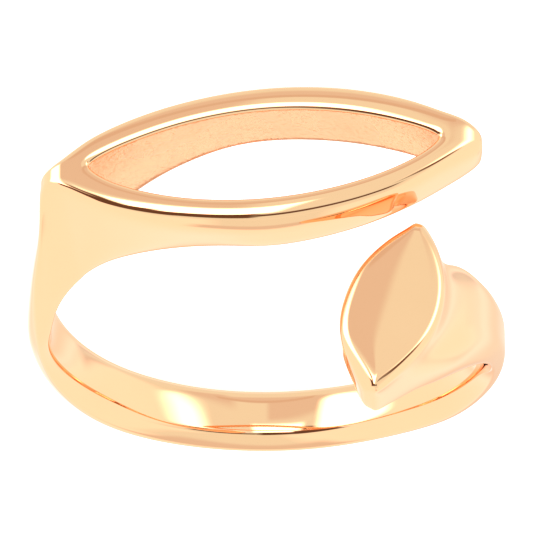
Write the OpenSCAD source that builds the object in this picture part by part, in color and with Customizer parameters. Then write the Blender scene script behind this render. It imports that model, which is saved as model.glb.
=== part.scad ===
// A one-piece open ring. A plain band rises on one side into a long, open marquise frame, and on the other
// side it sweeps forward into a small solid marquise. The two ends pass each other across the finger.
// The ring is drawn round its finger hole: x to the right, y up through the frame, z along the finger
// towards the solid marquise. It is then laid on its side, the way it rests on a table.

/* [Finger hole] */
// Diameter of the finger hole
hole_d = 17.5; // [17.3:0.1:17.7]
// Length of the straight wall of the finger hole
hole_wall = 2; // [1.6:0.1:2.2]
// Angle at which the hole opens towards its two mouths
hole_flare = 1; // [0.5:0.5:2]

/* [Band] */
// Thickness of the band at the side of the finger
side_t = 0.98; // [0.8:0.02:1.2]
// Thickness of the band behind the finger
back_t = 1.25; // [1:0.05:1.5]
// Width of the band
band_w = 2.4; // [2.2:0.1:2.6]

/* [Open marquise frame] */
// Height of the frame's top face over the middle of the finger hole
frame_top = 11.1; // [10.9:0.1:11.4]
// How far the two points of the frame drop below its middle
frame_arch = 0.7; // [0.4:0.1:1]
// Height of the rails from their underside to the top face
rail_h = 2.2; // [2:0.05:2.4]
// Bulge of the near side of the frame from the line through its points
near_bulge = 3.3; // [3:0.05:3.4]
// Bulge of the far side of the frame from the line through its points
far_bulge = 2.7; // [2.5:0.05:2.9]
// Radius of the frame's points, seen from above
point_r = 0.35; // [0.3:0.05:0.5]
// Rounding along the edges of the frame
rail_round = 0.3; // [0.2:0.05:0.35]

/* [Solid marquise] */
// Length of the solid marquise
head_l = 7.55; // [7.3:0.05:7.8]
// Width of the solid marquise
head_w = 3.95; // [3.6:0.05:4.2]
// Height of its face over the middle of the finger hole
head_top = 9.8; // [9.6:0.05:10]
// Rounding along the edge of its face
head_round = 0.3; // [0.2:0.05:0.4]

/* [Resting pose] */
// Lean about the x axis that brings the frame and the band down on the table together
lean_x = 9.6; // [0:0.1:14]
// Lean about the y axis that brings the third point of contact down
lean_y = -1.2; // [-8:0.1:8]

/* [Hidden] */
$fn = 96;
gold = "#f2c891";
hole_r = hole_d / 2;
// the swept body reaches this far into the hole, which is then bored out of it
spare = 0.25;
sweep_r = hole_r - spare;

// Leaf curve: height over its chord of length 2 l at s from the middle, bulge b, round point of radius g.
// A fullness under 1 fills the curve out towards its points.
function leaf(l, b, fullness, g, s) = max(b * pow(max(0, 1 - s * s / (l * l)), fullness),
    abs(s) > l - g ? sqrt(max(0, g * g - pow(abs(s) - l + g, 2))) : 0);

// Outline of the frame seen from above, as z over x, between its two ends [x, z]
frame_ends = [[-8.75, -0.65], [8.55, -2.5]];
frame_mid = (frame_ends[0] + frame_ends[1]) / 2;
frame_half = (frame_ends[1][0] - frame_ends[0][0]) / 2;
function line_z(ends, x) = ends[0][1] + (ends[1][1] - ends[0][1]) * (x - ends[0][0]) / (ends[1][0] - ends[0][0]);
function near_z(x) = line_z(frame_ends, x) + leaf(frame_half, near_bulge, 0.84, point_r, x - frame_mid[0]);
function far_z(x) = line_z(frame_ends, x) - leaf(frame_half, far_bulge, 0.74, point_r, x - frame_mid[0]);
function frame_y(x) = frame_top - frame_arch * pow(x / frame_half, 2);
function on_hole(x) = sqrt(sweep_r * sweep_r - x * x);

// A section is [inner x, inner y, outer x, outer y, z of its inner back, inner front, outer back and
// outer front, rounding of the outer edges, rounding of the inner edges]
// The frame's underside follows the finger on the left and runs parallel to the top face on the right.
// On the left the near wall leans in towards the finger by near_lean.
near_lean = 0.33;
function ease(t) = let (c = min(1, max(0, t))) c * c * (3 - 2 * c);
function frame_section(x) =
    let (lean = near_lean * pow(max(0, sin(180 * min(1, max(0, -x / 6.2)))), 1.2), flat = ease((x + 3) / 2.8),
        under = frame_y(x) - rail_h)
    [x, flat < 1 ? flat * under + (1 - flat) * on_hole(x) : under, x, frame_y(x),
    far_z(x), near_z(x) - lean, far_z(x), near_z(x), rail_round, 0.12];
frame_xs = [8.54, 8.5, 8.43, 8.33, 8.18, 7.98, for (x = [7.7 : -0.45 : -6.3]) x];

// Left shoulder: each row is a section on its way from the frame down to the band
//  angle, outer x, outer y, back_in, front_in, back_out, front_out, round_out
shoulder = [
    [146.5, -6.90, 10.66, -2.15, 0.98, -2.17, 0.50, 0.30],
    [150.0, -7.60, 10.57, -1.90, 1.00, -1.83, 0.14, 0.30],
    [153.0, -8.15, 10.48, -1.66, 1.02, -1.42, -0.16, 0.28],
    [156.0, -8.60, 10.34, -1.44, 1.04, -1.04, -0.34, 0.22],
    [159.0, -8.84,  9.70, -1.28, 1.06, -0.98, -0.12, 0.28],
    [162.5, -8.86,  8.50, -1.16, 1.08, -1.06, 0.25, 0.36],
    [166.0, -8.96,  7.20, -1.08, 1.06, -1.10, 0.60, 0.44],
    [170.0, -9.18,  5.70, -1.04, 1.03, -1.14, 0.86, 0.46],
    [174.0, -9.43,  3.90, -1.00, 1.00, -1.18, 1.04, 0.46],
    [178.0, -9.64,  1.90, -0.98, 0.97, -1.20, 1.14, 0.46]];
function shoulder_section(s) = [sweep_r * cos(s[0]), sweep_r * sin(s[0]), s[1], s[2],
    s[3], s[4], s[5], s[6], s[7], 0.2];

// Band and right arm: each row is a section that stands square to the finger hole
//  angle, thickness, back_in, front_in, back_out, front_out, round_out
half_w = band_w / 2;
arm = [
    [184, side_t - 0.03, -0.97, 0.95, -half_w, half_w - 0.04, 0.45],
    [196, side_t - 0.04, -0.97, 0.93, -half_w, half_w, 0.45],
    [212, side_t + 0.14, -0.99, 0.95, -half_w, half_w + 0.14, 0.42],
    [228, back_t - 0.03, -1.02, 0.95, -half_w, half_w + 0.16, 0.42],
    [245, back_t,        -1.03, 0.92, -half_w, half_w + 0.18, 0.42],
    [270, back_t,        -1.04, 0.88, -half_w, half_w + 0.10, 0.42],
    [290, back_t,        -1.06, 0.62, -half_w, half_w + 0.06, 0.42],
    [305, back_t,        -1.00, 0.70, -1.15, half_w + 0.18, 0.42],
    [320, back_t - 0.02, -0.82, 1.12, -0.90, 1.62, 0.45],
    [335, 1.16, -0.45, 1.52, -0.50, 1.88, 0.48],
    [350, 1.02, -0.05, 1.98, -0.05, 2.12, 0.48],
    [362, 0.98, 0.35, 2.55, 0.35, 2.50, 0.50],
    [374, 1.08, 0.75, 3.45, 0.75, 3.20, 0.52],
    [386, 1.33, 1.00, 4.55, 1.02, 4.00, 0.55],
    [396, 1.55, 1.10, 5.70, 1.18, 4.90, 0.55],
    [405, 1.65, 1.20, 6.75, 1.36, 5.80, 0.55],
    [412, 1.55, 1.60, 7.55, 1.80, 6.60, 0.55],
    [417, 1.35, 2.40, 7.95, 2.80, 7.00, 0.50]];
function arm_section(a) = [sweep_r * cos(a[0]), sweep_r * sin(a[0]),
    (hole_r + a[1]) * cos(a[0]), (hole_r + a[1]) * sin(a[0]), a[2], a[3], a[4], a[5], a[6], 0.2];

// Value at t between the rows b and c of a table, with their neighbours a and d
function blend(a, b, c, d, t) = 0.5 * (2 * b + (c - a) * t + (2 * a - 5 * b + 4 * c - d) * t * t
    + (3 * b - a - 3 * c + d) * t * t * t);
function smooth(table, steps) = [
    for (i = [0 : len(table) - 2]) for (k = [0 : steps - 1])
        blend(table[max(i - 1, 0)], table[i], table[i + 1], table[min(i + 2, len(table) - 1)], k / steps),
    table[len(table) - 1]];

// Rounded outline of one section, as points [along z, out from the inner edge]
corner_steps = 4;
function corner(cz, ch, r, from) = [for (k = [0 : corner_steps])
    [cz + r * cos(from + 90 * k / corner_steps), ch + r * sin(from + 90 * k / corner_steps)]];
function outline(zb0, zf0, zb1, zf1, h, ro, ri) =
    let (r1 = min(ro, 0.46 * (zf1 - zb1), 0.45 * h), r0 = min(ri, 0.45 * (zf0 - zb0), 0.45 * h))
    concat(corner(zf1 - r1, h - r1, r1, 0), corner(zb1 + r1, h - r1, r1, 90),
        corner(zb0 + r0, r0, r0, 180), corner(zf0 - r0, r0, r0, 270));
function section_points(s) =
    let (inner = [s[0], s[1]], span = [s[2], s[3]] - inner, h = norm(span), dir = span / h)
    [for (p = outline(s[4], s[5], s[6], s[7], h, s[8], s[9])) concat(inner + dir * p[1], [p[0]])];

// Closed skin over a row of outlines that all have the same number of points
module skin(rows) {
    n = len(rows[0]);
    m = len(rows);
    sides = [for (i = [0 : m - 2]) for (k = [0 : n - 1]) for (t = [0, 1])
        t == 0 ? [i * n + k, (i + 1) * n + (k + 1) % n, i * n + (k + 1) % n]
               : [i * n + k, (i + 1) * n + k, (i + 1) * n + (k + 1) % n]];
    ends = [[for (k = [0 : n - 1]) k], [for (k = [n - 1 : -1 : 0]) (m - 1) * n + k]];
    polyhedron([for (row = rows) for (p = row) p], concat(sides, ends), convexity = 6);
}

// Frame, left shoulder, band and right arm as one swept body
module swept_body() {
    sections = concat([for (x = frame_xs) frame_section(x)],
        smooth([for (s = shoulder) shoulder_section(s)], 3), smooth([for (a = arm) arm_section(a)], 3));
    skin([for (s = sections) section_points(s)]);
}

// Solid marquise: a leaf outline, carried down to the finger
head_mid = [4.97, 4.68];
head_turn = 17;
head_point_r = 0.55;
function head_outline(grow) =
    let (l = head_l / 2 + grow, n = 14)
    [for (side = [0, 1]) for (k = [0 : n - 1])
        let (t = [-1, 1][side] * cos(180 * k / n) * l)
        [[-1, 1][side] * leaf(l, head_w / 2 + grow, 0.88, head_point_r, t), t]];
module solid_marquise() {
    // each level is [height, how far the outline has grown there]
    levels = [[4.5, 0], [head_top - head_round, 0], [head_top - 0.4 * head_round, -0.15 * head_round],
        [head_top - 0.1 * head_round, -0.5 * head_round], [head_top, -head_round]];
    translate([head_mid[0], 0, head_mid[1]]) rotate([0, -head_turn, 0])
        skin([for (level = levels) [for (p = head_outline(level[1])) [p[0], level[0], p[1]]]]);
}

// Window of the frame, cut right through from the top. Its far wall leans in a little towards the finger.
window_near = [[-7.3, -0.93], [7.0, -2.3]];
window_far = [[-7.3, -1.05], [7.0, -2.38]];
window_bulge = [2.475, 1.53];
function window_outline(draft) =
    let (l = (window_near[1][0] - window_near[0][0]) / 2, n = 24)
    [for (side = [0, 1]) for (k = [0 : n])
        let (s = [-1, 1][side] * l * cos(180 * k / n), x = s + window_near[0][0] + l)
        side == 0 ? [x, line_z(window_near, x) + leaf(l, window_bulge[0], 0.78, 0, s)]
            : [x, line_z(window_far, x) - leaf(l, window_bulge[1] + draft, 0.95, 0, s)]];
module window() {
    // each level is [height, growth of the far side]
    skin([for (level = [[2, -1.2], [14, 0.6]])
        [for (p = window_outline(level[1])) [p[0], level[0], p[1]]]]);
}

// Finger hole: a straight wall, opening a little towards both mouths
module finger_hole() {
    reach = 14;
    cylinder(h = hole_wall, r = hole_r, center = true);
    for (side = [0, 1]) mirror([0, 0, side])
        translate([0, 0, hole_wall / 2])
            cylinder(h = reach, r1 = hole_r, r2 = hole_r + reach * tan(hole_flare));
}

module ring() {
    color(gold) rotate([lean_x, lean_y, 180]) difference() {
        union() {
            swept_body();
            solid_marquise();
        }
        window();
        finger_hole();
    }
}

ring();
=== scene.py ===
# %% [markdown]
# # An open ring, cast in one piece and gold-plated
# The imported CAD model is loaded first. It stays as the fixed frame: the looks are built round it, and its
# box is kept.

# %% Load the CAD frame
from math import cos, pi, radians, sin, sqrt

import bmesh
import bpy
from mathutils import Matrix, Vector


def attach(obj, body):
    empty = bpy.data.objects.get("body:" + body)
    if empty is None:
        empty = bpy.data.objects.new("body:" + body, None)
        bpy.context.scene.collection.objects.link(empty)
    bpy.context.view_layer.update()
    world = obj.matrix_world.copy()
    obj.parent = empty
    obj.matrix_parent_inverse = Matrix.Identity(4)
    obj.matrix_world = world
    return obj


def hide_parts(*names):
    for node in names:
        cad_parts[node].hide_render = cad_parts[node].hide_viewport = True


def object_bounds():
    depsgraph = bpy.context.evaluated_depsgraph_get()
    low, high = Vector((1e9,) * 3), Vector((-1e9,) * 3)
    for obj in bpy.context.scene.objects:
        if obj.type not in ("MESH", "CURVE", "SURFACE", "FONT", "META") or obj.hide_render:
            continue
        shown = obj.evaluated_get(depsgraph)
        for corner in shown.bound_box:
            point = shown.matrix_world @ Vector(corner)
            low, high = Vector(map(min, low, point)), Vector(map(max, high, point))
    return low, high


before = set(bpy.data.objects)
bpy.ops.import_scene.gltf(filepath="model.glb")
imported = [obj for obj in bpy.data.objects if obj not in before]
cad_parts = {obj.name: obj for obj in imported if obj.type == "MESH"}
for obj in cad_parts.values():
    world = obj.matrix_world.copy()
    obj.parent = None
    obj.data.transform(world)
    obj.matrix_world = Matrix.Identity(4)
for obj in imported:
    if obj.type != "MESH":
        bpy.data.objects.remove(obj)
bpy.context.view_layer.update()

# %% [markdown]
# A ring is easiest to think of round its finger hole, so every size below is in millimetres, with x to
# the right, y up through the open frame and z along the finger, towards the small solid marquise.
# The finished mesh is then leaned over and scaled to metres in one step, the way the ring lies on a
# table.

# %% Ring coordinates and the lean on the table
HOLE_R = 8.75
# how far the ring leans about its own x and y
LEAN_X, LEAN_Y = radians(9.6), radians(-1.2)
lay_down = Matrix.Rotation(pi, 4, "Z") @ Matrix.Rotation(LEAN_Y, 4, "Y") @ Matrix.Rotation(LEAN_X, 4, "X")
to_table = Matrix.Scale(0.001, 4) @ lay_down
print("finger axis on the table:", [round(v, 3) for v in lay_down @ Vector((0, 0, 1))])

# %% [markdown]
# The open marquise is a leaf outline with a smaller leaf cut out of it. Each edge could be drawn by hand,
# point by point. A leaf curve needs only three numbers: half its length, its bulge, and a fullness that
# says how much it fills out towards its points. The same curve draws all four edges of the two rails, so
# they stay in step when a number changes.

# %% Leaf curves of the open frame
def leaf(half_length, bulge, fullness, s):
    """How far a leaf's edge stands from its axis, at a distance s from its middle."""
    return bulge * max(0.0, 1 - (s / half_length) ** 2) ** fullness


def line(x, x0, z0, x1, z1):
    """z at x on the line through two points."""
    return z0 + (z1 - z0) * (x - x0) / (x1 - x0)


# y of the frame's top in its middle, how far it curves down to its ends, and the height of its rails
FRAME_TOP, FRAME_ARCH, RAIL_H = 11.1, 0.7, 2.2
# the frame's two points, as x and z
FRAME_LEFT, FRAME_RIGHT = (-8.75, -0.65), (8.6, -2.5)
# bulge of the frame's two outlines, and their fullness left and right of the middle
NEAR_OUTLINE, FAR_OUTLINE = (3.55, 0.87, 0.84), (2.82, 0.62, 0.72)
# x of the window's points, the lines that its sides are drawn from, and their bulge and fullness
WINDOW_LEFT, WINDOW_RIGHT = -7.12, 7.0
NEAR_LINE, FAR_LINE = (-7.3, -0.93, 7.0, -2.3), (-7.3, -1.05, 7.0, -2.38)
NEAR_SIDE, FAR_SIDE = (2.38, 0.78), (1.52, 0.95)
# the width that the window keeps at its points
WINDOW_END = 0.16

HALF = (FRAME_RIGHT[0] - FRAME_LEFT[0]) / 2
MID_X = (FRAME_RIGHT[0] + FRAME_LEFT[0]) / 2
WINDOW_HALF = (WINDOW_RIGHT - WINDOW_LEFT) / 2
WINDOW_MID = (WINDOW_RIGHT + WINDOW_LEFT) / 2


def outline(x, bulge, full_left, full_right):
    return leaf(HALF, bulge, full_left if x < MID_X else full_right, x - MID_X)


def frame_edges(x):
    """z of the near rim, near side of the window, far side of the window and far rim, at x."""
    axis = line(x, *FRAME_LEFT, *FRAME_RIGHT)
    window_near = line(x, *NEAR_LINE) + leaf(WINDOW_HALF, *NEAR_SIDE, x - WINDOW_MID)
    window_far = line(x, *FAR_LINE) - leaf(WINDOW_HALF, *FAR_SIDE, x - WINDOW_MID)
    window_near = max(window_near, window_far + WINDOW_END)
    return axis + outline(x, *NEAR_OUTLINE), window_near, window_far, axis - outline(x, *FAR_OUTLINE)


def frame_y(x):
    return FRAME_TOP - FRAME_ARCH * (x / HALF) ** 2


for x in (-6, 0, 6):
    print("frame edges at x =", x, [round(z, 2) for z in frame_edges(x)])

# %% [markdown]
# On the real ring the frame, the shoulder, the band and the arm are one casting that changes its section
# as it goes. Separate pieces would show a seam. A cage of sections has none: one closed loop of fourteen
# points is drawn at the frame's right point, and then extruded from station to station round the finger.
# Each corner of a section is two points with a stated set-back. A Subdivision Surface rounds such a corner
# like a polishing wheel does, and a larger set-back gives a softer corner.

# %% Section loops
def ramp(value, start, end):
    """0 before start and 1 past end, with a smooth passage between."""
    t = min(1.0, max(0.0, (value - start) / (end - start)))
    return t * t * (3 - 2 * t)


def between(near, far):
    """The two points in the middle of a side that runs from near to far."""
    return near + (far - near) * 0.36, near + (far - near) * 0.64


def section(inner, outer, z_in, z_out, foot, rim, far_foot=None, far_rim=None,
            inside=None, outside=None, swell=0.0, crown=0.0):
    """Fourteen points: up the near side, over the outside, down the far side and along the finger side.

    inner and outer are x and y of the finger side and the outside. z_in and z_out are near and far z on
    each. foot and rim are the set-backs of the inner and outer corners. inside and outside are the two
    middle points of those sides, swell rounds the near and far sides, and crown the finger side.
    """
    inner, outer = Vector(inner), Vector(outer)
    height = (outer - inner).length
    far_rim = rim if far_rim is None else far_rim
    far_foot = foot if far_foot is None else far_foot
    inside = inside or between(*z_in)
    outside = outside or between(*z_out)

    def at(h, z):
        p = inner.lerp(outer, h / height)
        return Vector((p.x, p.y, z))

    def near(h):
        return z_in[0] + (z_out[0] - z_in[0]) * h / height

    def far(h):
        return z_in[1] + (z_out[1] - z_in[1]) * h / height

    return [at(0, z_in[0] - foot), at(foot, near(foot)), at(height / 2, near(height / 2) + swell),
            at(height - rim, near(height - rim)), at(height, z_out[0] - rim),
            at(height, outside[0]), at(height, outside[1]),
            at(height, z_out[1] + far_rim), at(height - far_rim, far(height - far_rim)),
            at(height / 2, far(height / 2) - swell), at(far_foot, far(far_foot)), at(0, z_in[1] + far_foot),
            at(-crown, inside[1]), at(-crown, inside[0])]


# where the outside's and the finger side's middle points are in a section
OUTSIDE, INSIDE = (5, 6), (13, 12)
print("points in a section:", len(section((0, 8), (0, 10), (1, -1), (1, -1), 0.1, 0.2)))

# %% [markdown]
# The frame's stations stand upright along x. The top of both rails is nearly flat and ends in a soft rim,
# which is softest on the middle of the near rail. On the left the underside follows the finger hole, and
# from there on the rails keep their height. One section could be scaled along the frame. Here each is
# worked out from the leaf curves, so that the window's edges stay true leaves. The round point on the
# right is three smaller sections without a window.

# %% Frame stations
# set-backs of the corners on the frame: the far rim, and both edges of the underside
FAR_RIM, UNDER_RIM = 0.24, 0.2
# the near rim's set-back at the left, how much it grows to the middle and shrinks again to the right
RIM_LEFT, RIM_GROWS, RIM_SHRINKS = 0.16, 0.3, 0.16
# how far the window's rim stands back from its wall on the near and the far side
NEAR_SILL, FAR_SILL = 0.07, 0.19
# how much lower the far rail is at its outer edge, and how far its inner wall leans forward at its foot
FAR_FALL, WALL_DRAFT = 0.05, 0.17
# how far the near side's foot leans back, over what length left of the middle, and how narrowly
NEAR_LEAN, LEAN_LENGTH, LEAN_POWER = 0.4, 6.2, 1.2
# left of this x, the near side's foot stays as far forward as the shoulder's
SHOULDER_X, SHOULDER_NEAR = -5, 1.05


def near_rim(x):
    return RIM_LEFT + RIM_GROWS * ramp(x, -7.8, -2.8) - RIM_SHRINKS * ramp(x, 1, 7)


def underside(x):
    """y of the underside: on the finger hole at the left, and at the rails' height from there on."""
    level = ramp(x, -3, -0.2)
    return level * (frame_y(x) - RAIL_H) + (1 - level) * sqrt(HOLE_R ** 2 - x * x)


def frame_section(x):
    near, window_near, window_far, far = frame_edges(x)
    along_lean = min(1.0, max(0.0, -x / LEAN_LENGTH))
    near_foot = near - NEAR_LEAN * max(0.0, sin(pi * along_lean)) ** LEAN_POWER
    if x < SHOULDER_X:
        near_foot = max(near_foot, SHOULDER_NEAR)
    points = section((x, underside(x)), (x, frame_y(x)), (near_foot, far), (near, far), UNDER_RIM,
                     near_rim(x), far_rim=FAR_RIM, inside=(window_near, window_far + WALL_DRAFT),
                     outside=(window_near + NEAR_SILL, window_far - FAR_SILL))
    points[OUTSIDE[1] + 1].y -= FAR_FALL
    return points


FRAME_X = (7.0, 6.3, 5.4, 4.3, 3.0, 1.5, 0.0, -1.5, -3.0, -4.3, -5.5, -6.4, -7.12)
# the round point: x, near and far z, how deep it is, and its near rim's set-back
TIP = ((8.62, -2.22, -2.66, 1.3, 0.2), (8.42, -1.92, -2.98, 1.75, 0.34), (7.85, -1.5, -3.36, 2.15, 0.36))
# the set-backs of its underside and its far rim, as shares of that
TIP_UNDER, TIP_FAR = 0.7, 0.6
stations = []
for x, near, far, deep, rim in TIP:
    top = frame_y(x) - (RAIL_H - deep) / 2
    stations.append(section((x, top - deep), (x, top), (near, far), (near, far), rim * TIP_UNDER, rim,
                            far_rim=rim * TIP_FAR))
first_window = len(stations)
stations += [frame_section(x) for x in FRAME_X]
last_window = len(stations) - 1
print("frame stations:", len(stations))

# %% [markdown]
# Left of the window the stations fan out round the corner of the shoulder, and then stand square to the
# finger. Each row of a table is one station, and its angle is measured round the finger hole from the
# right, over the top. The shoulder's rows give its outer point, because the frame's end stands off the
# hole. The band's rows give its thickness. Near and far are z on the finger side (in) and on the outside
# (out).

# %% Shoulder, band and arm stations
#  angle, outer x, outer y, near in, near out, far in, far out, rim
SHOULDER = (
    (147.5, -8.02, 10.52, 1.00, 0.02, -1.96, -1.66, 0.17),
    (151.0, -8.52, 10.36, 1.02, -0.08, -1.72, -1.36, 0.20),
    (155.0, -8.84, 9.93, 1.04, -0.06, -1.50, -1.14, 0.26),
    (159.0, -8.96, 9.20, 1.06, 0.12, -1.30, -1.08, 0.34),
    (163.5, -8.97, 8.10, 1.07, 0.42, -1.16, -1.10, 0.36),
    (168.5, -9.10, 6.40, 1.14, 0.80, -1.16, -1.18, 0.38),
    (174.0, -9.46, 4.10, 1.28, 1.08, -1.30, -1.30, 0.38),
)
#  angle, thickness, near in, near out, far in, far out, near foot, near rim
BAND = (
    (180, 0.98, 1.40, 1.26, -1.40, -1.40, 0.14, 0.40),
    (190, 1.00, 1.26, 1.26, -1.42, -1.42, 0.20, 0.42),
    (202, 1.17, 1.16, 1.42, -1.36, -1.38, 0.26, 0.46),
    (214, 1.30, 1.12, 1.60, -1.27, -1.32, 0.28, 0.50),
    (226, 1.40, 1.10, 1.72, -1.21, -1.30, 0.28, 0.52),
    (238, 1.42, 1.08, 1.64, -1.22, -1.30, 0.14, 0.52),
    (250, 1.42, 1.06, 1.54, -1.22, -1.30, 0.11, 0.52),
    (262, 1.41, 1.04, 1.48, -1.23, -1.30, 0.18, 0.52),
    (274, 1.41, 1.01, 1.48, -1.24, -1.30, 0.20, 0.52),
    (286, 1.41, 0.97, 1.52, -1.25, -1.30, 0.05, 0.52),
    (298, 1.41, 0.95, 1.56, -1.20, -1.26, 0.04, 0.52),
    (310, 1.38, 1.03, 1.72, -1.06, -1.14, 0.08, 0.50),
    (322, 1.34, 1.30, 1.94, -0.84, -0.90, 0.16, 0.46),
    (334, 1.22, 1.62, 2.00, -0.50, -0.54, 0.24, 0.42),
    (346, 1.10, 1.96, 2.12, -0.17, -0.18, 0.30, 0.38),
    (357, 0.99, 2.34, 2.34, 0.18, 0.18, 0.30, 0.38),
    (368, 1.00, 3.00, 2.82, 0.58, 0.60, 0.30, 0.38),
    (378, 1.15, 3.80, 3.45, 0.92, 0.98, 0.26, 0.40),
    (387, 1.40, 4.72, 4.12, 1.06, 1.22, 0.20, 0.42),
    (395, 1.61, 5.60, 4.85, 1.14, 1.38, 0.15, 0.42),
    (402, 1.80, 6.40, 5.60, 1.20, 1.42, 0.15, 0.42),
)
# a subdivided loop shrinks a little, so the band's stations stand this much further out
SPREAD = 1.006
# the shoulder's finger side stands a hair inside the hole's radius, and has this set-back
SHOULDER_IN, SHOULDER_FOOT = 0.996, 0.1
# the far rim at the frame's left end is softer by this much, which fades in between these angles
END_SOFTER, END_ANGLES = 0.26, (157, 151)
# set-back of the band's far corners, and how far its sides and its finger side are rounded
BAND_BACK, BAND_SWELL, BAND_CROWN = 0.3, 0.12, 0.05


def polar(radius, angle):
    return radius * cos(radians(angle)), radius * sin(radians(angle))


for angle, outer_x, outer_y, near_in, near_out, far_in, far_out, rim in SHOULDER:
    softer = END_SOFTER * ramp(angle, *END_ANGLES)
    stations.append(section(polar(HOLE_R * SHOULDER_IN, angle), (outer_x, outer_y), (near_in, far_in),
                            (near_out, far_out), SHOULDER_FOOT, rim, far_rim=rim + softer))
for angle, thick, near_in, near_out, far_in, far_out, foot, rim in BAND:
    stations.append(section(polar(HOLE_R * SPREAD, angle), polar((HOLE_R + thick) * SPREAD, angle),
                            (near_in, far_in), (near_out, far_out), foot, rim, BAND_BACK, BAND_BACK,
                            swell=BAND_SWELL, crown=BAND_CROWN))
print("stations in all:", len(stations))

# %% [markdown]
# The body starts as one loop of edges. Each step extrudes the loop and moves the new points to the next
# station, as one would do by hand with E and G. The first loop is closed by a face.

# %% Sweep the body
def loop_edges(cage, loop):
    return [cage.edges.get((v, loop[(k + 1) % len(loop)])) for k, v in enumerate(loop)]


def draw_loop(cage, places):
    verts = [cage.verts.new(p) for p in places]
    for k, vert in enumerate(verts):
        cage.edges.new((vert, verts[(k + 1) % len(verts)]))
    return verts


def extrude_loop(cage, loop, places):
    """Extrude the edges of a closed loop of points, and move the new points to their places."""
    made = bmesh.ops.extrude_edge_only(cage, edges=loop_edges(cage, loop))["geom"]
    fresh = {g for g in made if isinstance(g, bmesh.types.BMVert)}
    after = [next(e.other_vert(v) for e in v.link_edges if e.other_vert(v) in fresh) for v in loop]
    for vert, place in zip(after, places):
        vert.co = place
    return after


body = bmesh.new()
columns = [draw_loop(body, stations[0])]
for places in stations[1:]:
    columns.append(extrude_loop(body, columns[-1], places))
body.faces.new(columns[0])
print("body cage:", len(body.verts), "points,", len(body.faces), "faces")

# %% [markdown]
# The window is cut as in sheet metal: the faces between its two sides are taken away on the top and on the
# finger side. The rim is extruded down as the wall, and the wall is bridged to the opening below. The
# polished rim ends in a crease, because a wheel doesn't reach the cast wall under it.

# %% Cut the window
# how far the wall stands in from the rim at the window's two points, and the depths of its two loops
END_SILL, RIM_DEPTH, WALL_DEPTH = 0.14, 0.16, 0.8
RIM_CREASE, FOOT_CREASE = 0.5, 1.0

span = columns[first_window:last_window + 1]
in_window = {row[k] for row in span for k in OUTSIDE + INSIDE}
lids = [f for f in body.faces if all(v in in_window for v in f.verts)]
bmesh.ops.delete(body, geom=lids, context="FACES")


def round_window(pair):
    """The window's loop of points on one side of the body: along its near side, and back."""
    return [row[pair[0]] for row in span] + [row[pair[1]] for row in reversed(span)]


window_rim, window_foot = round_window(OUTSIDE), round_window(INSIDE)


def end_step(x):
    if x > WINDOW_RIGHT - 0.1:
        return END_SILL
    if x < WINDOW_LEFT + 0.1:
        return -END_SILL
    return 0


def wall_places(depth):
    """Places of the window's loop on the cast wall, at a depth under the rim."""
    places = []
    for vert in window_rim:
        x = vert.co.x
        window_near, window_far = frame_edges(x)[1:3]
        near_side = vert.co.z > (window_near + window_far) / 2
        z = window_near if near_side else window_far
        places.append(Vector((x - end_step(x), vert.co.y - depth, z)))
    return places


under_rim = extrude_loop(body, window_rim, wall_places(RIM_DEPTH))
wall_mid = extrude_loop(body, under_rim, wall_places(WALL_DEPTH))
walls = {f for v in wall_mid for f in v.link_faces}
both_ends = loop_edges(body, wall_mid) + loop_edges(body, window_foot)
walls.update(bmesh.ops.bridge_loops(body, edges=both_ends)["faces"])
for wall in walls:
    wall.material_index = 1
crease = body.edges.layers.float.new("crease_edge")
for loop, sharpness in ((under_rim, RIM_CREASE), (window_foot, FOOT_CREASE)):
    for edge in loop_edges(body, loop):
        edge[crease] = sharpness
print("window: lids taken away", len(lids), "wall faces", len(walls))

# %% [markdown]
# The small solid marquise is a leaf-shaped block at the end of the arm, with a mirror face that is all but
# flat. It could be cut out of a block. Here a grid is pulled into the leaf's shape for the face, because
# the rim can then be as wide as the real one all round: it is broadest at the left, and thin at both
# points. The grid's outline is extruded down to the finger, level by level, and closed by a sole.

# %% Outline of the solid marquise
# x and z of its middle, and how far it is turned
MARQUISE_MID, MARQUISE_TURN = Vector((4.97, 4.68)), radians(17)
# half its length, half its width, how much less that is on its upper left, and the height of its face
MARQUISE_L, MARQUISE_W, LEFT_LESS, MARQUISE_TOP = 3.9, 2.05, 0.1, 9.82
# its fullness, which is less on its upper right
FULL, FULL_UPPER_RIGHT = 0.86, 0.72
# the least half width at its lower and its upper point, and of the face
LOWER_POINT, UPPER_POINT, LEAST_FACE = 0.3, 0.24, 0.04
# an inset is half as wide at the lower point as at the sides, and half as wide again at the upper one
LOWER_INSET, UPPER_INSET = 0.5, 1.5
# the rim at the left, as a share of the inset: at both points, and how much broader in the middle
LEFT_RIM, LEFT_BROADER = 0.4, 1.1
# the lower point of each inset outline stands this far to the right, and that of the walls half as far
POINT_SHIFT = 0.36
# places along the leaf, and the share of its half width across
ALONG = (-3.88, -3.5, -2.95, -1.85, -0.85, 0.25, 1.35, 2.3, 3.2, 3.9)
ACROSS = (-1, -0.3, 0.3, 1)


def on_marquise(s, t, y):
    """The place that lies s across and t along the marquise, at the height y."""
    x = MARQUISE_MID.x + s * cos(MARQUISE_TURN) - t * sin(MARQUISE_TURN)
    z = MARQUISE_MID.y + s * sin(MARQUISE_TURN) + t * cos(MARQUISE_TURN)
    return Vector((x, y, z))


def half_width(across, t):
    left, lower = across < 0, t > 0
    width = MARQUISE_W - LEFT_LESS if left and t < 1 else MARQUISE_W
    fullness = FULL if left or lower else FULL_UPPER_RIGHT
    return max(leaf(MARQUISE_L, width, fullness, t), LOWER_POINT if lower else UPPER_POINT)


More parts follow.
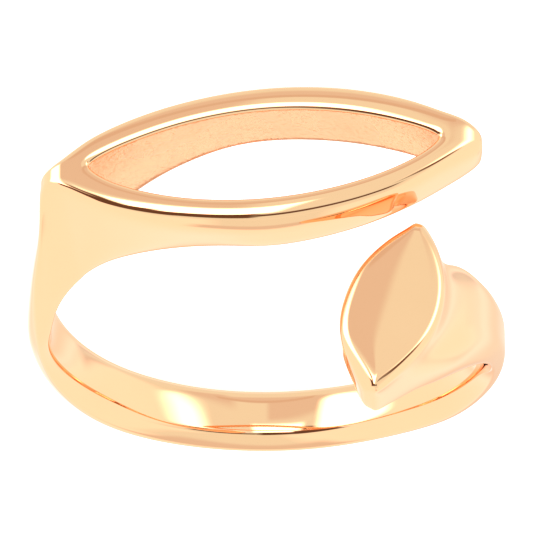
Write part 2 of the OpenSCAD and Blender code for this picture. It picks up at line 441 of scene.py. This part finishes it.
def rim_width(across, t):
    """The width of the rim round the face, as a share of the inset."""
    if across > 0:
        return 1
    return LEFT_RIM + LEFT_BROADER * (ramp(t, -3, 0.5) - ramp(t, 0.2, 2.4))


def leaf_point(across, t, inset, y):
    """A place on the outline, or inset from it, at the height y."""
    half = max(half_width(across, t) - inset * rim_width(across, t), LEAST_FACE)
    shift = (POINT_SHIFT if inset else POINT_SHIFT / 2) * ramp(t, 2, MARQUISE_L)
    shorter = (LOWER_INSET if t > 0 else UPPER_INSET) * inset / MARQUISE_L
    return on_marquise(across * half + shift, t * (1 - shorter), y)


print("half width in its middle:", [round(half_width(a, 0), 2) for a in (-1, 1)])

# %% [markdown]
# The face is very slightly domed, as a hand-polished one is, and its lower point falls away a little. A
# flat mirror would show one plain colour. The dome spreads the studio over it, so the face is darker on
# its left half than on its right.

# %% Face of the solid marquise
# how far the face lies in from the outline, how much lower its sides are, and its lower point
FACE_INSET, FACE_CROWN, POINT_DROP = 0.26, 0.09, 0.07


def face_height(across, t):
    """The sides lie lower than the middle, but less so towards the upper point."""
    fall = FACE_CROWN * leaf(MARQUISE_L, 1, FULL, min(t, 0)) if abs(across) == 1 else 0
    return MARQUISE_TOP - fall - POINT_DROP * ramp(t, 3.1, MARQUISE_L)


grid = bmesh.ops.create_grid(body, x_segments=len(ACROSS) - 1, y_segments=len(ALONG) - 1, size=1)["verts"]
face = {}
for k, vert in enumerate(grid):
    across, t = ACROSS[k % len(ACROSS)], ALONG[k // len(ACROSS)]
    vert.co = leaf_point(across, t, FACE_INSET, face_height(across, t))
    face[across, t] = vert
print("face grid:", len(grid), "points")

# %% [markdown]
# Round the face the outline goes down the right side, round the lower point, and back up the left side.
# The first level lies just under the face and makes the rim. The others go straight down to the finger
# hole. The sole is one face, which is cut across from side to side so that it bends with the hole.

# %% Walls and sole of the solid marquise
# the rim's foot: how far in from the outline, and how far under the face
RIM_INSET, RIM_DROP = 0.03, 0.3
# the walls' levels, as a share of the way up from the finger hole, and how far in the sole lies
LEVELS, SOLE_INSET = (0.74, 0.42, 0.12), 0.15
around = [(1, t) for t in ALONG]
around += [(across, ALONG[-1]) for across in ACROSS[2:0:-1]]
around += [(-1, t) for t in reversed(ALONG)]
around += [(across, ALONG[0]) for across in ACROSS[1:3]]


def level(share, inset=0.0, down=0.0):
    """Places of the outline between the underside, share 0, and the face, share 1."""
    places = []
    for across, t in around:
        under = sqrt(HOLE_R ** 2 - leaf_point(across, t, 0, 0).x ** 2)
        places.append(leaf_point(across, t, inset, under + (MARQUISE_TOP - under) * share - down))
    return places


levels = [extrude_loop(body, [face[place] for place in around], level(1, RIM_INSET, RIM_DROP))]
for share in LEVELS:
    levels.append(extrude_loop(body, levels[-1], level(share)))
sole = extrude_loop(body, levels[-1], level(0, SOLE_INSET))
body.faces.new(sole)
for t in ALONG[1:-1]:
    bmesh.ops.connect_verts(body, verts=[sole[around.index((side, t))] for side in (1, -1)])
print("marquise: levels", len(levels), "faces in all", len(body.faces))

# %% [markdown]
# The arm runs into the marquise without a seam. Part of the block's right wall is taken away, which leaves
# a hole of fourteen points, as many as the arm's last loop has. These two loops are the only open edges
# now, so they are bridged. The Subdivision Surface turns the joint into a soft fillet.

# %% Join the arm to the marquise
# the stretch of the right side that the arm runs into
JOINT_FROM, JOINT_TO = -3, 2.4
joint = [k for k, (across, t) in enumerate(around) if across == 1 and JOINT_FROM < t < JOINT_TO]
opening = {row[k] for row in levels[1:] for k in joint}
patch = [f for f in body.faces if all(v in opening for v in f.verts)]
bmesh.ops.delete(body, geom=patch, context="FACES")
bmesh.ops.bridge_loops(body, edges=[e for e in body.edges if e.is_boundary])
bmesh.ops.recalc_face_normals(body, faces=body.faces)
open_edges = sum(e.is_boundary for e in body.edges)
print("marquise joined over", len(joint), "columns; open edges left:", open_edges)

# %% [markdown]
# Plated gold is a mirror with a warm tint. What one sees is mostly the studio in it, so the base colour is
# the tint of a reflection. A little noise in the tint and the roughness, and a faint bump, keep it from
# looking computed. The wall inside the window is hard to reach with a polishing wheel, so it keeps the
# grain of the casting, with a stronger bump and a rougher gloss.

# %% Gold finishes
GOLD = (1.0, 0.557, 0.30, 1)
# the scale of the clouds in tint and gloss, on Object coordinates in metres
CLOUDS = 350


def gold_finish(name, tint, rough, rougher, grain_scale, grain, grain_depth):
    """A gold whose tint goes from GOLD to tint, and its roughness from rough to rougher."""
    material = bpy.data.materials.new(name)
    material.use_nodes = True
    nodes, links = material.node_tree.nodes, material.node_tree.links
    shader = nodes["Principled BSDF"]
    shader.inputs["Metallic"].default_value = 1.0
    place = nodes.new("ShaderNodeTexCoord")

    def noise(scale, detail):
        texture = nodes.new("ShaderNodeTexNoise")
        texture.inputs["Scale"].default_value = scale
        texture.inputs["Detail"].default_value = detail
        links.new(place.outputs["Object"], texture.inputs["Vector"])
        return texture.outputs["Fac"]

    cloud = noise(CLOUDS, 3)
    colour = nodes.new("ShaderNodeMix")
    colour.data_type = "RGBA"
    colour.inputs["A"].default_value = GOLD
    colour.inputs["B"].default_value = (*tint, 1)
    links.new(cloud, colour.inputs["Factor"])
    links.new(colour.outputs["Result"], shader.inputs["Base Color"])
    gloss = nodes.new("ShaderNodeMapRange")
    gloss.inputs["To Min"].default_value = rough
    gloss.inputs["To Max"].default_value = rougher
    links.new(cloud, gloss.inputs["Value"])
    links.new(gloss.outputs["Result"], shader.inputs["Roughness"])
    bump = nodes.new("ShaderNodeBump")
    bump.inputs["Strength"].default_value = grain
    bump.inputs["Distance"].default_value = grain_depth
    links.new(noise(grain_scale, 4), bump.inputs["Height"])
    links.new(bump.outputs["Normal"], shader.inputs["Normal"])
    return material


polished = gold_finish("polished gold", (0.97, 0.53, 0.28), 0.02, 0.07, 900, 0.15, 0.000004)
cast_wall = gold_finish("cast gold", (0.94, 0.5, 0.26), 0.16, 0.38, 6000, 0.7, 0.00008)
print("finishes:", polished.name, "and", cast_wall.name)

# %% [markdown]
# The cage becomes a mesh object: it is laid down on the table in metres and given its finishes, and then
# a Subdivision Surface is put over it. The finished piece stands for the ring of the CAD model.

# %% Make the piece
bmesh.ops.transform(body, matrix=to_table, verts=body.verts)
for f in body.faces:
    f.smooth = True
mesh = bpy.data.meshes.new("ring_body")
body.to_mesh(mesh)
body.free()
mesh.materials.append(polished)
mesh.materials.append(cast_wall)
ring_body = bpy.data.objects.new("ring_body", mesh)
bpy.context.scene.collection.objects.link(ring_body)
smooth = ring_body.modifiers.new("smooth skin", "SUBSURF")
smooth.levels = smooth.render_levels = 3
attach(ring_body, "root")
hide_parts("ring")
shown = ring_body.evaluated_get(bpy.context.evaluated_depsgraph_get()).to_mesh()
print("faces after the modifier:", len(shown.polygons))

# %% [markdown]
# The table is a plain white sheet that glows a little, so that it shows no shadow. The ring lies on it on
# its side, touching it with the frame and the band. Every surface of the ring mirrors what is round it, so
# the table is kept out of the reflections: what shows in the gold is then the studio alone, and each
# highlight can be placed.

# %% Table
floor_cage = bmesh.new()
bmesh.ops.create_grid(floor_cage, x_segments=1, y_segments=1, size=2)
bmesh.ops.translate(floor_cage, vec=(0, 0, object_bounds()[0][2]), verts=floor_cage.verts)
floor_mesh = bpy.data.meshes.new("table")
floor_cage.to_mesh(floor_mesh)
floor_cage.free()
table = bpy.data.objects.new("table", floor_mesh)
table.visible_glossy = False
bpy.context.scene.collection.objects.link(table)
paper = bpy.data.materials.new("white paper")
paper.use_nodes = True
white = paper.node_tree.nodes["Principled BSDF"].inputs
white["Base Color"].default_value = (0.9, 0.9, 0.9, 1)
white["Roughness"].default_value = 0.9
white["Emission Color"].default_value = (1, 1, 1, 1)
white["Emission Strength"].default_value = 0.7
floor_mesh.materials.append(paper)
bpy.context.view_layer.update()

# %% [markdown]
# The camera looks at the ring from 250 mm away, 61.5 degrees off the finger's axis on the frame's side.
# From there a long lens fills the picture with the ring. The picture is turned so that the frame is at
# the top, although the ring lies on its side.

# %% Camera
VIEW, DISTANCE, LENS = radians(61.5), 0.25, 413
# the point in the middle of the picture, from the middle of the ring
AIM_UP, AIM_RIGHT = 0.00196, 0.00006
towards = lay_down.to_3x3() @ Vector((0, sin(VIEW), cos(VIEW)))
up = lay_down.to_3x3() @ Vector((0, cos(VIEW), -sin(VIEW)))
right = lay_down.to_3x3() @ Vector((1, 0, 0))
eye = towards * DISTANCE
aim = up * AIM_UP + right * AIM_RIGHT
back = (eye - aim).normalized()
side = up.cross(back).normalized()
turned = Matrix((side, back.cross(side), back)).transposed()
camera = bpy.data.objects.new("camera", bpy.data.cameras.new("camera"))
camera.data.lens = LENS
camera.data.clip_start = 0.01
camera.matrix_world = Matrix.Translation(eye) @ turned.to_4x4()
bpy.context.scene.collection.objects.link(camera)
bpy.context.scene.camera = camera
print("camera at", [round(v, 3) for v in eye])

# %% [markdown]
# A mirror needs something to mirror. A jeweller's studio is a pale tent with brighter and darker things
# in it, and each of them draws a line or a patch on the ring. Lamps and cards could stand round the ring
# as objects. Here they are panels painted on the world by direction, because a panel is then placed by
# where its reflection should fall. Three values say where a direction points, in the picture's own terms:
# to the side, up, and towards the lens.

# %% Tools for the studio light
world = bpy.data.worlds.new("studio tent")
bpy.context.scene.world = world
world.use_nodes = True
nodes, links = world.node_tree.nodes, world.node_tree.links
ray = nodes.new("ShaderNodeTexCoord")


def along(direction):
    """How far a ray from the scene points along a direction, from -1 to 1."""
    dot = nodes.new("ShaderNodeVectorMath")
    dot.operation = "DOT_PRODUCT"
    dot.inputs[1].default_value = direction
    links.new(ray.outputs["Generated"], dot.inputs[0])
    return dot.outputs["Value"]


def smooth_step(value, low, high, rising):
    """From 0 to 1 between low and high where it rises, and from 1 to 0 where it doesn't."""
    step = nodes.new("ShaderNodeMapRange")
    step.interpolation_type = "SMOOTHSTEP"
    step.inputs["From Min"].default_value = low
    step.inputs["From Max"].default_value = high
    step.inputs["To Min"].default_value = 0 if rising else 1
    step.inputs["To Max"].default_value = 1 if rising else 0
    links.new(value, step.inputs["Value"])
    return step.outputs["Result"]


def times(a, b):
    product = nodes.new("ShaderNodeMath")
    product.operation = "MULTIPLY"
    links.new(a, product.inputs[0])
    links.new(b, product.inputs[1])
    return product.outputs["Value"]


def within(value, span, soft):
    """1 inside a span of values and 0 outside it, with soft edges."""
    return times(smooth_step(value, span[0] - soft, span[0] + soft, True),
                 smooth_step(value, span[1] - soft, span[1] + soft, False))


DEPTH_SOFT = 0.1


def panel(under, colour, sideways, upward, soft, forward):
    """A soft-edged panel over what is there, between two values each sideways, upward and forward."""
    mask = times(within(to_side, sideways, soft), within(height, upward, soft))
    cover = nodes.new("ShaderNodeMix")
    cover.data_type = "RGBA"
    cover.clamp_factor = True
    links.new(times(mask, within(facing, forward, DEPTH_SOFT)), cover.inputs["Factor"])
    links.new(under, cover.inputs["A"])
    cover.inputs["B"].default_value = (*colour, 1)
    return cover.outputs["Result"]


height, to_side, facing = along(up), along(right), along(towards)
print("studio directions ready")

# %% [markdown]
# Each panel covers the ones before it. The cloth is the tent itself, and straight behind the ring it is
# left open to the shade. Pale and grey cards give the flat faces their two tones, and bright lamps the
# white lines and spots. The lens looks in through a dark slot, which draws the thin dark line along the
# frame's rim and the band's foot.

# %% Studio light
# light of the studio's parts, as red, green and blue
CLOTH, SHEET, PALE, GREY = (1.32, 1.38, 1.43), (1.35, 1.46, 1.55), (0.96, 1.16, 1.2), (0.86, 0.89, 0.92)
SHADE, TABLE_SHADE, SEAM = (1.02, 0.98, 0.82), (0.97, 0.85, 0.7), (0.8, 0.76, 0.74)
LAMP, SLOT = (3.8, 3.8, 3.8), (0.15, 0.09, 0.06)
# a panel that reaches all the way, and one that is in front of the ring
ALL, FRONT = (-2, 2), (0.1, 2)
#  light, sideways, upward, softness of the edges, forward
PANELS = (
    # low behind the ring, the tent all round, and a bright sheet behind on the left
    (TABLE_SHADE, (-0.3, 0.3), (-0.8, -0.06), 0.1, ALL),
    (CLOTH, (-1.5, 1.5), (-1.5, 1.5), 0.1, (-0.83, 2)),
    (SHEET, (-0.5, -0.04), (-0.36, 0.3), 0.05, (-2, -0.88)),
    # behind on the right, for the soft spot on the arm
    (GREY, (0.55, 0.8), (0.22, 0.5), 0.05, (-0.85, -0.5)),
    # cards below, for the outside of the band
    (PALE, (-0.15, 0.45), (-1.1, -0.4), 0.06, (0.15, 2)),
    (GREY, (-0.2, 0.35), (-1.1, -0.9), 0.04, (-0.1, 0.36)),
    # cards above, for the frame's top and the two tones of the solid marquise
    (PALE, (-0.58, 0.72), (-0.42, 1.1), 0.06, (-0.7, 2)),
    (GREY, (-0.58, -0.02), (0.76, 0.95), 0.03, FRONT),
    (GREY, (-0.95, 0.8), (0.92, 1.1), 0.03, FRONT),
    (GREY, (0.25, 0.95), (0.84, 1.1), 0.05, (-0.1, 2)),
    (SEAM, (-0.35, 0.35), (0.9, 0.94), 0.01, FRONT),
    # the lamp of the long white lines, and the dark slot's upper left part
    (LAMP, (-0.33, 0.12), (0.23, 0.7), 0.03, FRONT),
    (SLOT, (-0.62, -0.35), (-0.2, 0.64), 0.02, FRONT),
    (SLOT, (-0.62, -0.27), (-0.24, 0.38), 0.03, FRONT),
    # lamps for the frame's right and left points
    (LAMP, (0.53, 0.72), (0.42, 0.76), 0.09, FRONT),
    (LAMP, (-0.95, -0.45), (0.5, 0.86), 0.05, FRONT),
    (LAMP, (-0.95, -0.7), (0.46, 0.86), 0.05, FRONT),
    # the slot round the lens, and a small one for the solid marquise's lower right edge
    (SLOT, (-0.62, 0.06), (-0.2, 0.22), 0.04, FRONT),
    (SLOT, (0.04, 0.62), (-0.09, 0.09), 0.03, FRONT),
    (SLOT, (0.5, 0.76), (0.26, 0.45), 0.02, (0.62, 0.8)),
)
shade = nodes.new("ShaderNodeRGB")
shade.outputs["Color"].default_value = (*SHADE, 1)
tent = shade.outputs["Color"]
for light, sideways, upward, soft, forward in PANELS:
    tent = panel(tent, light, sideways, upward, soft, forward)
links.new(tent, nodes["Background"].inputs["Color"])
bpy.context.scene.view_settings.view_transform = "Standard"
print("studio panels:", len(PANELS))
